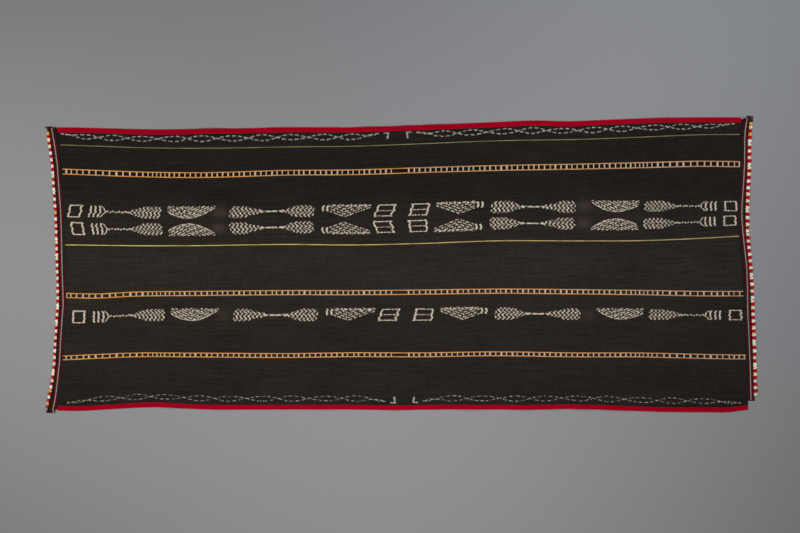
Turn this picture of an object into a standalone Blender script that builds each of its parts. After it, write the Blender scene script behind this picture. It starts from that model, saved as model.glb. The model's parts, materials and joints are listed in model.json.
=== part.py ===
"""Long cotton blanket with red side bands and looped ends, lying open and face up.

A dark field cloth is bordered by a narrow red band along each long edge. Each end is
closed by a ribbed band of worked rows, and a row of small rounded yarn loops stands
along the outer side of that band. The underside lies on z = 0, +X runs along the
blanket and +Y points to its north edge. Every size is in metres.
"""

from collections import namedtuple
import math
import random

import bmesh
import bpy
import numpy as np

COLLECTION_NAME = "blanket"

# Thicknesses and widths of the cloths
FIELD_THICKNESS = 0.0016
SIDE_BAND_THICKNESS = 0.0024
NORTH_BAND_WIDTH = 0.0155
SOUTH_BAND_WIDTH = 0.0145
PIECE_GAP = 0.0003

# How finely the cloths are divided along their length
CLOTH_STEPS = 84

# Outer long edges of the red bands, from the west end to the east end
SideStation = namedtuple("SideStation", "x north south")
SIDE_STATIONS = (
    SideStation(x=-1.120, north=0.4400, south=-0.4660),
    SideStation(x=-1.020, north=0.4385, south=-0.4675),
    SideStation(x=-0.940, north=0.4365, south=-0.4630),
    SideStation(x=-0.790, north=0.4330, south=-0.4560),
    SideStation(x=-0.640, north=0.4350, south=-0.4625),
    SideStation(x=-0.480, north=0.4370, south=-0.4635),
    SideStation(x=-0.330, north=0.4398, south=-0.4632),
    SideStation(x=-0.175, north=0.4392, south=-0.4632),
    SideStation(x=-0.020, north=0.4437, south=-0.4648),
    SideStation(x=0.130, north=0.4494, south=-0.4630),
    SideStation(x=0.285, north=0.4555, south=-0.4632),
    SideStation(x=0.440, north=0.4613, south=-0.4635),
    SideStation(x=0.515, north=0.4590, south=-0.4616),
    SideStation(x=0.670, north=0.4642, south=-0.4648),
    SideStation(x=0.820, north=0.4699, south=-0.4702),
    SideStation(x=0.975, north=0.4715, south=-0.4718),
    SideStation(x=1.050, north=0.4715, south=-0.4715),
    SideStation(x=1.110, north=0.4705, south=-0.4640),
)

# Line of the white cord at each end, and how far in from it the field cloth begins.
# The cloths have a row of points at each of these heights but the first and the last.
EndStation = namedtuple("EndStation", "y west west_inset east east_inset")
END_STATIONS = (
    EndStation(y=-0.480, west=-1.1140, west_inset=0.013, east=1.1180, east_inset=0.008),
    EndStation(y=-0.425, west=-1.1075, west_inset=0.010, east=1.1180, east_inset=0.008),
    EndStation(y=-0.370, west=-1.1008, west_inset=0.009, east=1.1170, east_inset=0.008),
    EndStation(y=-0.310, west=-1.0940, west_inset=0.008, east=1.1155, east_inset=0.008),
    EndStation(y=-0.250, west=-1.0915, west_inset=0.008, east=1.1135, east_inset=0.008),
    EndStation(y=-0.190, west=-1.0875, west_inset=0.008, east=1.1115, east_inset=0.008),
    EndStation(y=-0.130, west=-1.0830, west_inset=0.008, east=1.1090, east_inset=0.008),
    EndStation(y=-0.070, west=-1.0835, west_inset=0.009, east=1.1065, east_inset=0.008),
    EndStation(y=-0.010, west=-1.0852, west_inset=0.009, east=1.1032, east_inset=0.008),
    EndStation(y=0.050, west=-1.0866, west_inset=0.009, east=1.0972, east_inset=0.008),
    EndStation(y=0.110, west=-1.0884, west_inset=0.008, east=1.0920, east_inset=0.008),
    EndStation(y=0.180, west=-1.0910, west_inset=0.009, east=1.0915, east_inset=0.008),
    EndStation(y=0.250, west=-1.0962, west_inset=0.011, east=1.0943, east_inset=0.008),
    EndStation(y=0.320, west=-1.1010, west_inset=0.013, east=1.0980, east_inset=0.009),
    EndStation(y=0.395, west=-1.1110, west_inset=0.015, east=1.0985, east_inset=0.010),
    EndStation(y=0.480, west=-1.1228, west_inset=0.018, east=1.1065, east_inset=0.018),
)
CROSS_LEVELS = [station.y for station in END_STATIONS[1:-1]]

# Places where the cloth stands a little off the surface
EdgeLift = namedtuple("EdgeLift", "x height half_length")
NORTH_LIFTS = (
    EdgeLift(x=-0.611, height=0.0050, half_length=0.055),
    EdgeLift(x=-0.395, height=0.0035, half_length=0.070),
    EdgeLift(x=-0.221, height=0.0030, half_length=0.045),
    EdgeLift(x=-0.106, height=0.0045, half_length=0.060),
    EdgeLift(x=0.019, height=0.0035, half_length=0.045),
    EdgeLift(x=0.110, height=0.0035, half_length=0.065),
)
SOUTH_LIFTS = (
    EdgeLift(x=-0.736, height=0.0035, half_length=0.060),
    EdgeLift(x=-0.560, height=0.0030, half_length=0.060),
    EdgeLift(x=-0.250, height=0.0030, half_length=0.080),
    EdgeLift(x=-0.010, height=0.0050, half_length=0.055),
    EdgeLift(x=0.109, height=0.0030, half_length=0.045),
    EdgeLift(x=0.220, height=0.0060, half_length=0.070),
    EdgeLift(x=0.387, height=0.0045, half_length=0.060),
    EdgeLift(x=0.486, height=0.0050, half_length=0.045),
    EdgeLift(x=0.573, height=0.0055, half_length=0.050),
    EdgeLift(x=0.695, height=0.0045, half_length=0.075),
)
LIFT_REACH = 0.110

# Old fold lines that cross the whole width as low ridges
FoldRidge = namedtuple("FoldRidge", "x height half_width")
FOLD_RIDGES = (
    FoldRidge(x=-0.573, height=0.0014, half_width=0.045),
    FoldRidge(x=0.835, height=0.0022, half_width=0.045),
)

# Worked rows of an end band, from the cloth outwards: where each row ends, and its crest
Row = namedtuple("Row", "ends_at crest")
END_ROWS = (
    Row(ends_at=-0.0025, crest=0.0030),
    Row(ends_at=0.0025, crest=0.0045),
    Row(ends_at=0.0070, crest=0.0032),
    Row(ends_at=0.0115, crest=0.0036),
)
ROW_VALLEY = 0.0020
TAIL_THICKNESS = 0.0016

# Each end's own span and the tails that its four rows leave at the two corners
End = namedtuple("End", "side outwards south north south_tails north_tails loops first_loop last_loop")
WEST_END = End(
    side="west", outwards=-1, south=-0.4660, north=0.4360,
    south_tails=(0.005, 0.003, 0.008, 0.005), north_tails=(0.006, 0.002, 0.003, 0.006),
    loops=84, first_loop=-0.4600, last_loop=0.4260,
)
EAST_END = End(
    side="east", outwards=1, south=-0.4310, north=0.4640,
    south_tails=(0.002, 0.002, 0.004, 0.003), north_tails=(0.006, 0.012, 0.007, 0.010),
    loops=82, first_loop=-0.4200, last_loop=0.4550,
)

# Rounded yarn loops along the outer side of an end band
LOOP_LENGTH = 0.0080
LOOP_LENGTH_SPREAD = 0.0014
LOOP_BACKING = 0.0016
LOOP_SHOULDERS = (0.0, 0.2, 0.8)
LOOP_BELLY_SHARE = 0.45
LOOP_ROOT_THICKNESS = 0.0022
LOOP_BELLY_THICKNESS = 0.0046
LOOP_TIP_THICKNESS = 0.0026
LOOP_SEED = 11

# Finishes: base colour in linear values, then roughness
Finish = namedtuple("Finish", "colour roughness")
BLACK_BROWN_COTTON = Finish(colour=(0.016, 0.013, 0.011), roughness=0.85)
RED_COTTON = Finish(colour=(0.42, 0.003, 0.022), roughness=0.75)
DARK_RED_COTTON = Finish(colour=(0.10, 0.012, 0.018), roughness=0.80)
RED_AND_CREAM_YARN = Finish(colour=(0.55, 0.30, 0.22), roughness=0.70)


def blend(start, end, share):
    return start + (end - start) * share


def edge_at(column, x):
    """Long edge at x: the stations joined by smooth cubic steps."""
    places = [station.x for station in SIDE_STATIONS]
    values = [getattr(station, column) for station in SIDE_STATIONS]
    if x <= places[0]:
        return values[0]
    if x >= places[-1]:
        return values[-1]
    slopes = np.gradient(values, places)
    index = max(number for number, value in enumerate(places) if value <= x)
    length = places[index + 1] - places[index]
    t = (x - places[index]) / length
    end_weight = 3 * t ** 2 - 2 * t ** 3
    start_slope_weight = t ** 3 - 2 * t ** 2 + t
    end_slope_weight = t ** 3 - t ** 2
    return (
        blend(values[index], values[index + 1], end_weight)
        + start_slope_weight * length * slopes[index]
        + end_slope_weight * length * slopes[index + 1]
    )


def north_edge(x):
    return edge_at("north", x)


def south_edge(x):
    return edge_at("south", x)


def end_at(column, y):
    """Value of an end's column at height y: the stations joined by straight runs."""
    places = [station.y for station in END_STATIONS]
    values = [getattr(station, column) for station in END_STATIONS]
    return float(np.interp(y, places, values))


def cloth_limits(y):
    """West and east edge of the woven cloth at height y."""
    west = end_at("west", y) + end_at("west_inset", y) + PIECE_GAP / 2
    east = end_at("east", y) - end_at("east_inset", y) - PIECE_GAP / 2
    return west, east


def swell(distance, half_length):
    """A soft hump: 1 at its middle, 0 from half_length on."""
    if abs(distance) >= half_length:
        return 0.0
    return 0.5 + 0.5 * math.cos(math.pi * distance / half_length)


def rise(x, y):
    """Height of the cloth's underside above the surface it lies on."""
    height = 0.0
    for ridge in FOLD_RIDGES:
        height += ridge.height * swell(x - ridge.x, ridge.half_width)
    from_north = max(north_edge(x) - y, 0.0)
    from_south = max(y - south_edge(x), 0.0)
    for lifts, from_edge in ((NORTH_LIFTS, from_north), (SOUTH_LIFTS, from_south)):
        for lift in lifts:
            height += lift.height * swell(x - lift.x, lift.half_length) * swell(from_edge, LIFT_REACH)
    return height


def point_on_edge(column, edge):
    """Point of a long edge, or of a line beside it, in a column of the cloths."""
    share = column / CLOTH_STEPS
    middle = blend(*cloth_limits(0.0), share)
    x = blend(*cloth_limits(edge(middle)), share)
    return x, edge(x)


def make_finish(name, finish):
    """A Principled material of its own for one piece."""
    material = bpy.data.materials.new(name)
    material.use_nodes = True
    shader = material.node_tree.nodes["Principled BSDF"]
    shader.inputs["Base Color"].default_value = (*finish.colour, 1.0)
    shader.inputs["Roughness"].default_value = finish.roughness
    shader.inputs["Metallic"].default_value = 0.0
    material.diffuse_color = (*finish.colour, 1.0)
    return material


def make_sheet(collection, name, steps, rows, place, thickness, finish):
    """A closed sheet: a grid that is extruded upwards and then laid out point by point.

    place(column, row) gives a point of the sheet's outline from above, and
    thickness(column, row) gives how thick the sheet is there.
    """
    body = bmesh.new()
    bmesh.ops.create_grid(body, x_segments=steps, y_segments=rows, size=0.5)
    extruded = bmesh.ops.extrude_face_region(body, geom=body.faces[:])
    upper = [part for part in extruded["geom"] if isinstance(part, bmesh.types.BMVert)]
    bmesh.ops.translate(body, verts=upper, vec=(0.0, 0.0, 1.0))
    bmesh.ops.recalc_face_normals(body, faces=body.faces)
    for vertex in body.verts:
        column = round((vertex.co.x + 0.5) * steps)
        row = round((vertex.co.y + 0.5) * rows)
        x, y = place(column, row)
        vertex.co = (x, y, rise(x, y) + vertex.co.z * thickness(column, row))
    if body.calc_volume(signed=True) < 0.0:
        bmesh.ops.reverse_faces(body, faces=body.faces)
    mesh = bpy.data.meshes.new(name)
    body.to_mesh(mesh)
    body.free()
    mesh.materials.append(make_finish(name + "_finish", finish))
    piece = bpy.data.objects.new(name, mesh)
    collection.objects.link(piece)
    return piece


def make_field(collection):
    """The dark field cloth, from one red band to the other."""
    last_row = len(CROSS_LEVELS) + 1

    def low_edge(x):
        return south_edge(x) + SOUTH_BAND_WIDTH + PIECE_GAP

    def high_edge(x):
        return north_edge(x) - NORTH_BAND_WIDTH - PIECE_GAP

    def place(column, row):
        if row == 0:
            return point_on_edge(column, low_edge)
        if row == last_row:
            return point_on_edge(column, high_edge)
        y = CROSS_LEVELS[row - 1]
        return blend(*cloth_limits(y), column / CLOTH_STEPS), y

    def thickness(column, row):
        return FIELD_THICKNESS

    make_sheet(collection, "field_cloth", CLOTH_STEPS, last_row, place, thickness, BLACK_BROWN_COTTON)


def make_side_band(collection, name, low_edge, high_edge):
    """A red band between two long edges."""

    def place(column, row):
        return point_on_edge(column, high_edge if row else low_edge)

    def thickness(column, row):
        return SIDE_BAND_THICKNESS

    make_sheet(collection, name, CLOTH_STEPS, 1, place, thickness, RED_COTTON)


def make_end_band(collection, end):
    """The ribbed band that closes one end: four worked rows with a tail at each corner."""
    levels = [end.south] + CROSS_LEVELS + [end.north]
    last_column = len(levels) - 1

    def offset(y, row):
        """Distance out from the white cord: even rows are valleys, odd rows are crests."""
        edges = [PIECE_GAP / 2 - end_at(end.side + "_inset", y)]
        edges += [worked.ends_at for worked in END_ROWS]
        return blend(edges[row // 2], edges[(row + 1) // 2], 0.5)

    def place(column, row):
        y = levels[column]
        x = end_at(end.side, y) + end.outwards * offset(y, row)
        if row % 2 and column == 0:
            y -= end.south_tails[row // 2]
        if row % 2 and column == last_column:
            y += end.north_tails[row // 2]
        return x, y

    def thickness(column, row):
        if column in (0, last_column):
            return TAIL_THICKNESS
        return END_ROWS[row // 2].crest if row % 2 else ROW_VALLEY

    name = "end_band_" + end.side
    make_sheet(collection, name, last_column, 2 * len(END_ROWS), place, thickness, DARK_RED_COTTON)


def make_loop_edging(collection, end):
    """Rounded yarn loops fused at their roots to a narrow backing strip."""
    spread = random.Random(LOOP_SEED)
    lengths = [LOOP_LENGTH + spread.uniform(-1.0, 1.0) * LOOP_LENGTH_SPREAD for _ in range(end.loops)]
    points_per_loop = len(LOOP_SHOULDERS)
    steps = end.loops * points_per_loop
    pitch = (end.last_loop - end.first_loop) / end.loops
    root = END_ROWS[-1].ends_at + PIECE_GAP

    def place(column, row):
        loop, point = divmod(column, points_per_loop)
        y = end.first_loop + (loop + LOOP_SHOULDERS[point]) * pitch
        depth = LOOP_BACKING
        if point:
            depth += lengths[loop]
        share = (0.0, LOOP_BELLY_SHARE, 1.0)[row]
        x = end_at(end.side, y) + end.outwards * (root + depth * share)
        return x, y

    def thickness(column, row):
        if column % points_per_loop == 0 or row == 0:
            return LOOP_ROOT_THICKNESS
        return LOOP_BELLY_THICKNESS if row == 1 else LOOP_TIP_THICKNESS

    make_sheet(collection, "loop_edging_" + end.side, steps, 2, place, thickness, RED_AND_CREAM_YARN)


def main():
    for leftover in list(bpy.data.objects):
        bpy.data.objects.remove(leftover)
    collection = bpy.data.collections.new(COLLECTION_NAME)
    bpy.context.scene.collection.children.link(collection)
    make_field(collection)
    make_side_band(collection, "side_band_north", lambda x: north_edge(x) - NORTH_BAND_WIDTH, north_edge)
    make_side_band(collection, "side_band_south", south_edge, lambda x: south_edge(x) + SOUTH_BAND_WIDTH)
    for end in (WEST_END, EAST_END):
        make_end_band(collection, end)
        make_loop_edging(collection, end)


main()
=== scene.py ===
# %% [markdown]
# # A long dark blanket with red edges and looped ends
# The real thing is a warp-faced cotton cloth more than two metres long, laid open and seen from
# straight above. Pale figures were tied off before the warp was dyed almost black, narrow ladders
# of coloured warps run from end to end, red bands edge the long sides, and both ends are closed
# with rows of twining and small loops of wound yarn.
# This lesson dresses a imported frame: each piece takes its place from the frame's own outline.

# %% Load the frame
import math
from collections import namedtuple
from functools import reduce

import bmesh
import bpy
import numpy as np
from mathutils import Euler, Matrix, Vector
from mathutils.bvhtree import BVHTree
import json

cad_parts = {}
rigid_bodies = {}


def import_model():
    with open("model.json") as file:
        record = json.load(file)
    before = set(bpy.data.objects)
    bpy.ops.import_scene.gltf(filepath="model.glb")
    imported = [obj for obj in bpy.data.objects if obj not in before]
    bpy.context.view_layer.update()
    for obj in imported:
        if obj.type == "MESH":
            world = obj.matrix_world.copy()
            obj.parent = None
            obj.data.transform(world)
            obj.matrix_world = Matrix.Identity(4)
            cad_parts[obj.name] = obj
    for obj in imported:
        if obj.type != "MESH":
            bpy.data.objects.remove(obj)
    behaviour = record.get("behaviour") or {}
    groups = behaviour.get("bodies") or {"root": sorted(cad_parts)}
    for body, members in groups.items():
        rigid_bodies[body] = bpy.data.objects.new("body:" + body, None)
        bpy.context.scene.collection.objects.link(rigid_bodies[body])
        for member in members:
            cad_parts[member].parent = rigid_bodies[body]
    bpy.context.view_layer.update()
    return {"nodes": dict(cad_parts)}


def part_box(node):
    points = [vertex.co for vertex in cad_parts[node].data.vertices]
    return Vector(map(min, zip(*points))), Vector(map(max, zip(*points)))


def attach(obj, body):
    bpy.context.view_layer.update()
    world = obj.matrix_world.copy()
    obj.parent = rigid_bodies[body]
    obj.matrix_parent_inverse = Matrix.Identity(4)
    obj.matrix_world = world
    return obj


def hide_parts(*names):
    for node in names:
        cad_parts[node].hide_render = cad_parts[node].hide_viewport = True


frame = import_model()
BODY = "root"
MM = 0.001
print("frame pieces:", ", ".join(sorted(frame["nodes"])))

# %% [markdown]
# ## Camera
# The cloth was seen from straight overhead, so the camera looks down its own -Z axis and needs no
# turning. One pixel of the photograph shows 3.2 mm of the surface. A camera high above with a
# long lens keeps the picture flat, and the lens follows from the height and the width shown.

# %% Camera
PIXEL = 3.2 * MM
PHOTO_WIDTH = 800
PHOTO_HEIGHT = 533
ORIGIN_PIXEL = (401.0, 264.75)
CAMERA_HEIGHT = 5.0
SENSOR_WIDTH = 36.0

centre_x = (PHOTO_WIDTH / 2 - ORIGIN_PIXEL[0]) * PIXEL
centre_y = (ORIGIN_PIXEL[1] - PHOTO_HEIGHT / 2) * PIXEL
bpy.ops.object.camera_add(location=(centre_x, centre_y, CAMERA_HEIGHT), rotation=(0.0, 0.0, 0.0))
camera = bpy.context.object
camera.name = "camera_overhead"
camera.data.sensor_width = SENSOR_WIDTH
camera.data.lens = SENSOR_WIDTH * CAMERA_HEIGHT / (PHOTO_WIDTH * PIXEL)
bpy.context.scene.camera = camera
print(f"camera {CAMERA_HEIGHT:.1f} m up, lens {camera.data.lens:.1f} mm")

# %% [markdown]
# ## Helpers for finishes
# Colours are written as they look on a screen, in hex, and turned to linear light once. A finish is
# a small tree of nodes, so one function adds a node together with its settings and its links. The
# others each do one job with a few nodes: lay colours over a ground, vary a colour, draw streaks,
# mark a line, and hand the colour and the relief to the shader.

# %% Helpers for finishes
NOISE_LOW, NOISE_HIGH = 0.3, 0.7
# A Mix node's colours go in at 6 and 7, and its mixed colour comes out at 2.
MIXED = 2


def linear(hex_colour):
    """A screen colour such as "8E8E8E" as linear red, green, blue and alpha."""
    values = [int(hex_colour[start:start + 2], 16) / 255 for start in (0, 2, 4)]
    straight = [v / 12.92 if v <= 0.04045 else ((v + 0.055) / 1.055) ** 2.4 for v in values]
    return (*straight, 1.0)


def add_node(tree, kind, inputs=None, output=0, **settings):
    """Adds a node, makes its settings, fills or links its inputs, and returns one output."""
    made = tree.nodes.new("ShaderNode" + kind)
    for name, value in settings.items():
        setattr(made, name, value)
    for name, value in (inputs or {}).items():
        if isinstance(value, bpy.types.NodeSocket):
            tree.links.new(value, made.inputs[name])
        else:
            made.inputs[name].default_value = value
    return made.outputs[output]


def new_finish(name, roughness, specular=0.04):
    """A material with one Principled shader; returns it with its tree of nodes."""
    material = bpy.data.materials.new(name)
    material.use_nodes = True
    shader = material.node_tree.nodes["Principled BSDF"]
    shader.inputs["Roughness"].default_value = roughness
    shader.inputs["Specular IOR Level"].default_value = specular
    return material, material.node_tree


def cover(material, colour, relief=None, strength=0.5, depth=0.3 * MM):
    """Gives a material its colour and, as bumps up to depth high, its relief."""
    tree = material.node_tree
    shader = tree.nodes["Principled BSDF"]
    tree.links.new(colour, shader.inputs["Base Color"])
    if relief is not None:
        bumps = {"Height": relief, "Strength": strength, "Distance": depth}
        tree.links.new(add_node(tree, "Bump", bumps), shader.inputs["Normal"])
    return material


def paint(tree, ground, *layers):
    """Lays colours over a ground, each a (colour, mask) pair and seen where its mask is 1."""
    for colour, mask in layers:
        ground = add_node(tree, "Mix", {0: mask, 6: ground, 7: colour}, MIXED, data_type="RGBA")
    return ground


def vary(tree, colour, noise, amount):
    """Makes a colour up to amount darker or lighter, following a noise."""
    limits = {0: noise, 1: NOISE_LOW, 2: NOISE_HIGH, 3: 1 - amount, 4: 1 + amount}
    product = {0: 1.0, 6: colour, 7: add_node(tree, "MapRange", limits)}
    return add_node(tree, "Mix", product, MIXED, data_type="RGBA", blend_type="MULTIPLY")


def streaks(tree, coordinates, length, width, detail=2.0):
    """Noise drawn out along the first coordinate: its length and its width in metres."""
    stretched = add_node(tree, "Mapping", {0: coordinates, "Scale": (1 / length, 1 / width, 1.0)})
    return add_node(tree, "TexNoise", {0: stretched, "Scale": 1.0, "Detail": detail})


def within(tree, value, middle, reach, softness):
    """1 where a value is less than reach from its middle, 0 beyond, with a soft step between."""
    off = add_node(tree, "Math", {0: value, 1: middle}, operation="SUBTRACT")
    size = add_node(tree, "Math", {0: off}, operation="ABSOLUTE")
    limits = {0: size, 1: reach - softness, 2: reach + softness, 3: 1.0, 4: 0.0}
    return add_node(tree, "MapRange", limits, interpolation_type="SMOOTHSTEP")


print("screen grey 8E8E8E is", round(linear("8E8E8E")[0], 3), "in linear light")

# %% [markdown]
# ## Surface and light
# The cloth lies on a plain pale grey sweep. Three soft boxes light it, one at the left end, one in
# front and one behind at the right, so the grey darkens gently towards the corners. The one at the
# right is a little bluer, as daylight from a window would be. The camera doesn't see the lamps.

# %% Surface and light
FLOOR_SIZE = 16.0
FLOOR_DROP = 0.3 * MM
MOTTLES_ACROSS = 1.3
Lamp = namedtuple("Lamp", "name place size watts colour")
LAMPS = (
    Lamp("soft_box_west", place=(-1.60, 0.11, 1.50), size=0.6, watts=15.4, colour=(1.0, 1.0, 1.0)),
    Lamp("soft_box_front", place=(0.03, -0.64, 2.00), size=0.8, watts=29.8, colour=(1.0, 1.0, 1.0)),
    Lamp("soft_box_east", place=(1.06, 1.00, 1.70), size=0.6, watts=17.3, colour=(0.94, 0.99, 1.09)),
)
SKY_STRENGTH = 0.02

bpy.ops.mesh.primitive_plane_add(size=FLOOR_SIZE, location=(0.0, 0.0, -FLOOR_DROP))
surface = bpy.context.object
surface.name = "pale_grey_surface"
# Uncoated paper: matt and without gloss, so the lamps leave no bright spots on it.
paper, tree = new_finish("matt_grey_paper", 0.9)
mottle = add_node(tree, "TexNoise", {"Scale": MOTTLES_ACROSS, "Detail": 1.0})
cover(paper, paint(tree, linear("929292"), (linear("8F8F90"), mottle)))
surface.data.materials.append(paper)

for lamp in LAMPS:
    bpy.ops.object.light_add(type="AREA", location=lamp.place)
    light = bpy.context.object
    light.name = lamp.name
    light.data.size = lamp.size
    light.data.energy = lamp.watts
    light.data.color = lamp.colour
    light.visible_camera = False

sky = bpy.data.worlds.new("studio_fill")
sky.use_nodes = True
sky.node_tree.nodes["Background"].inputs["Color"].default_value = (1.0, 1.0, 1.0, 1.0)
sky.node_tree.nodes["Background"].inputs["Strength"].default_value = SKY_STRENGTH
bpy.context.scene.world = sky
bpy.context.scene.view_settings.view_transform = "Standard"
print(f"{len(LAMPS)} soft boxes, fill {SKY_STRENGTH}")

# %% [markdown]
# ## Where the frame's pieces lie
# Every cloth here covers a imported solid, so its outline is read from that solid's upper rim: the
# edges that one upward face shares with a wall. A rim's points, sorted along the rim, give the
# edge as a line that any number of new points can follow. Heights come from rays cast downwards.

# %% Read rims and heights from the frame
MERGE = 0.01 * MM
UPWARD = 0.5
ALONG_X = 0
ALONG_Y = 1


def welded_copy(node_name):
    """A frame piece's mesh with its loose triangles joined."""
    body = bmesh.new()
    body.from_mesh(frame["nodes"][node_name].data)
    bmesh.ops.remove_doubles(body, verts=body.verts, dist=MERGE)
    body.normal_update()
    return body


def rim_line(node_name, along, side):
    """One edge of a piece seen from above: places along it, and where it lies at each of them.

    along is ALONG_X or ALONG_Y; side is +1 for the north or east edge, -1 for the other.
    """
    body = welded_copy(node_name)
    across = 1 - along
    points = set()
    for edge in body.edges:
        walls = [face for face in edge.link_faces if face.normal.z <= UPWARD]
        start, end = (vertex.co for vertex in edge.verts)
        runs_along = abs(end[along] - start[along]) > abs(end[across] - start[across])
        if len(walls) == 1 and runs_along and walls[0].normal[across] * side > UPWARD:
            for point in (start, end):
                points.add((round(point[along], 6), round(point[across], 6)))
    body.free()
    ordered = np.array(sorted(points))
    return ordered[:, 0], ordered[:, 1]


def on_line(line, places):
    return np.interp(places, line[0], line[1])


def heights_over(node_name, x, y):
    """Height of a frame piece's top above each point, or of its nearest part beside it."""
    body = welded_copy(node_name)
    finder = BVHTree.FromBMesh(body)
    body.free()
    found = np.empty(x.size)
    for index, (px, py) in enumerate(zip(x.ravel(), y.ravel())):
        hit = finder.ray_cast(Vector((px, py, 1.0)), Vector((0.0, 0.0, -1.0)))[0]
        if hit is None:
            hit = finder.find_nearest(Vector((px, py, 0.01)))[0]
        found[index] = hit.z
    return found.reshape(x.shape)


FIELD_NORTH = rim_line("field_cloth", ALONG_X, 1)
FIELD_SOUTH = rim_line("field_cloth", ALONG_X, -1)
FIELD_WEST = rim_line("field_cloth", ALONG_Y, -1)
FIELD_EAST = rim_line("field_cloth", ALONG_Y, 1)
for line in (FIELD_NORTH, FIELD_SOUTH, FIELD_WEST, FIELD_EAST):
    print(f"a rim with {len(line[0])} points, at {line[1].min():.3f} to {line[1].max():.3f} m")

# %% [markdown]
# ## How the warps run
# On a warp-faced cloth every stripe is a line of warps, and the warps don't run quite straight:
# the cloth was pulled and it was laid down by hand. Five woven lines were followed along the
# blanket, at twelve stations. A point of the cloth then has two coordinates of its own: its place
# along the length, and its place across the warps as if they ran straight.

# %% Coordinates of the cloth
# A row for each station: its x, and there the y of ladder_south, ladder_middle, thick_line,
# ladder_north and thin_line.
GUIDES = (
    (-1.072, -0.2980, -0.0985, 0.0635, 0.2981, 0.3832),
    (-0.963, -0.2927, -0.1000, 0.0622, 0.2938, 0.3791),
    (-0.867, -0.2888, -0.0946, 0.0610, 0.2901, 0.3755),
    (-0.662, -0.2888, -0.0917, 0.0610, 0.2866, 0.3723),
    (-0.355, -0.2905, -0.0890, 0.0650, 0.2946, 0.3765),
    (-0.150, -0.2878, -0.0891, 0.0632, 0.2962, 0.3790),
    (0.054, -0.2882, -0.0875, 0.0677, 0.3026, 0.3864),
    (0.310, -0.2848, -0.0845, 0.0765, 0.3096, 0.3965),
    (0.566, -0.2885, -0.0866, 0.0763, 0.3141, 0.4011),
    (0.771, -0.2885, -0.0891, 0.0773, 0.3186, 0.4085),
    (0.976, -0.2933, -0.0930, 0.0859, 0.3227, 0.4171),
    (1.078, -0.2952, -0.0930, 0.0920, 0.3211, 0.4178),
)
SOUTH_RIM, NORTH_RIM = -0.4500, 0.4335
LADDER_SOUTH, LADDER_MIDDLE, LADDER_NORTH = -0.2891, -0.0901, 0.3029
THICK_LINE, THIN_LINE = 0.0699, 0.3896
WARPS = (SOUTH_RIM, LADDER_SOUTH, LADDER_MIDDLE, THICK_LINE, LADDER_NORTH, THIN_LINE, NORTH_RIM)


def smooth_between(places, values, x):
    """The values at the stations, joined by smooth cubic steps and read at x."""
    places = np.asarray(places)
    values = np.asarray(values)
    slopes = np.gradient(values, places)
    inside = np.clip(x, places[0], places[-1])
    step = np.clip(np.searchsorted(places, inside) - 1, 0, len(places) - 2)
    run = places[step + 1] - places[step]
    t = (inside - places[step]) / run
    rise = 3 * t ** 2 - 2 * t ** 3
    return (
        values[step] * (1 - rise) + values[step + 1] * rise
        + (t ** 3 - 2 * t ** 2 + t) * run * slopes[step] + (t ** 3 - t ** 2) * run * slopes[step + 1]
    )


def y_of_warp(x, warp):
    """Where a warp lies at x: between the woven lines and the cloth's two rims."""
    stations, *lines = zip(*GUIDES)
    known = [on_line(FIELD_SOUTH, x)]
    known += [smooth_between(stations, line, x) for line in lines]
    known.append(on_line(FIELD_NORTH, x))
    y = np.array(known[0], dtype=float)
    for below, above, low, high in zip(known, known[1:], WARPS, WARPS[1:]):
        share = np.clip((warp - low) / (high - low), 0.0, 1.0)
        y = y + (above - below) * share
    return y


print(f"at the middle the thin line lies at {y_of_warp(np.zeros(1), THIN_LINE)[0]:.4f} m")

# %% [markdown]
# ## The tied figures
# Before dyeing, bundles of warps were wrapped with fibre, and the wrapped stretches stayed pale.
# A figure is therefore a chart of short dashes: one bundle above the other, each dash shifted a
# little, which gives slanting strokes. The chart is kept as a distance in millimetres to the edge
# of the nearest pale stroke, negative inside it. A distance can be blended from point to point of
# the cloth without turning blurred, which a painted mask can't, and two shapes are joined by the
# smaller of their distances and cut to their common part by the larger.

# %% Strokes of the tied figures
ROW_DEPTH = 39.5
BUNDLES = 13
STROKE = 5.4
FAR = 6.0
BOX_MIDDLE, BOX_HALF_DEPTH, BOX_WAVE_DEPTH = 20.0, 19.5, 19.0
BAR_OVERHANG = 2.0


def either(*shapes):
    """Distance to what lies in any of the shapes."""
    return reduce(np.minimum, shapes)


def both(*shapes):
    """Distance to what lies in all of the shapes."""
    return reduce(np.maximum, shapes)


def band_of(value, middle, half_width):
    """Distance to the stretch round a middle."""
    return np.abs(value - middle) - half_width


def bell(distance, reach):
    """A soft hump: 1 in the middle and 0 from reach on."""
    return np.where(np.abs(distance) < reach, 0.5 + 0.5 * np.cos(math.pi * distance / reach), 0.0)


def triangle_wave(value):
    """Runs from -1 to 1 and back once for each whole step of value."""
    return 4.0 * np.abs((value - 0.25) % 1.0 - 0.5) - 1.0


def slanting_strokes(along, depth, pitch, swing, slant_depth, share):
    """Repeated strokes that lean one way and then the other down the depth of a figure."""
    shifted = along + swing * triangle_wave(depth / slant_depth)
    from_stroke = np.abs((shifted / pitch) % 1.0 - 0.5) * pitch
    steepness = 4.0 * swing / slant_depth
    return (from_stroke - share * pitch / 2) / math.sqrt(1.0 + steepness ** 2)


def dashed_lines(along, inwards, spacing, thickness, pitch, dash):
    """Dashed lines one inside the other; inwards is the distance from the outermost one."""
    line = np.round(inwards / spacing)
    from_dash = np.abs((along / pitch + line / 2) % 1.0 - 0.5) * pitch - dash / 2
    return both(band_of(inwards, line * spacing, thickness / 2), from_dash)


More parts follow.
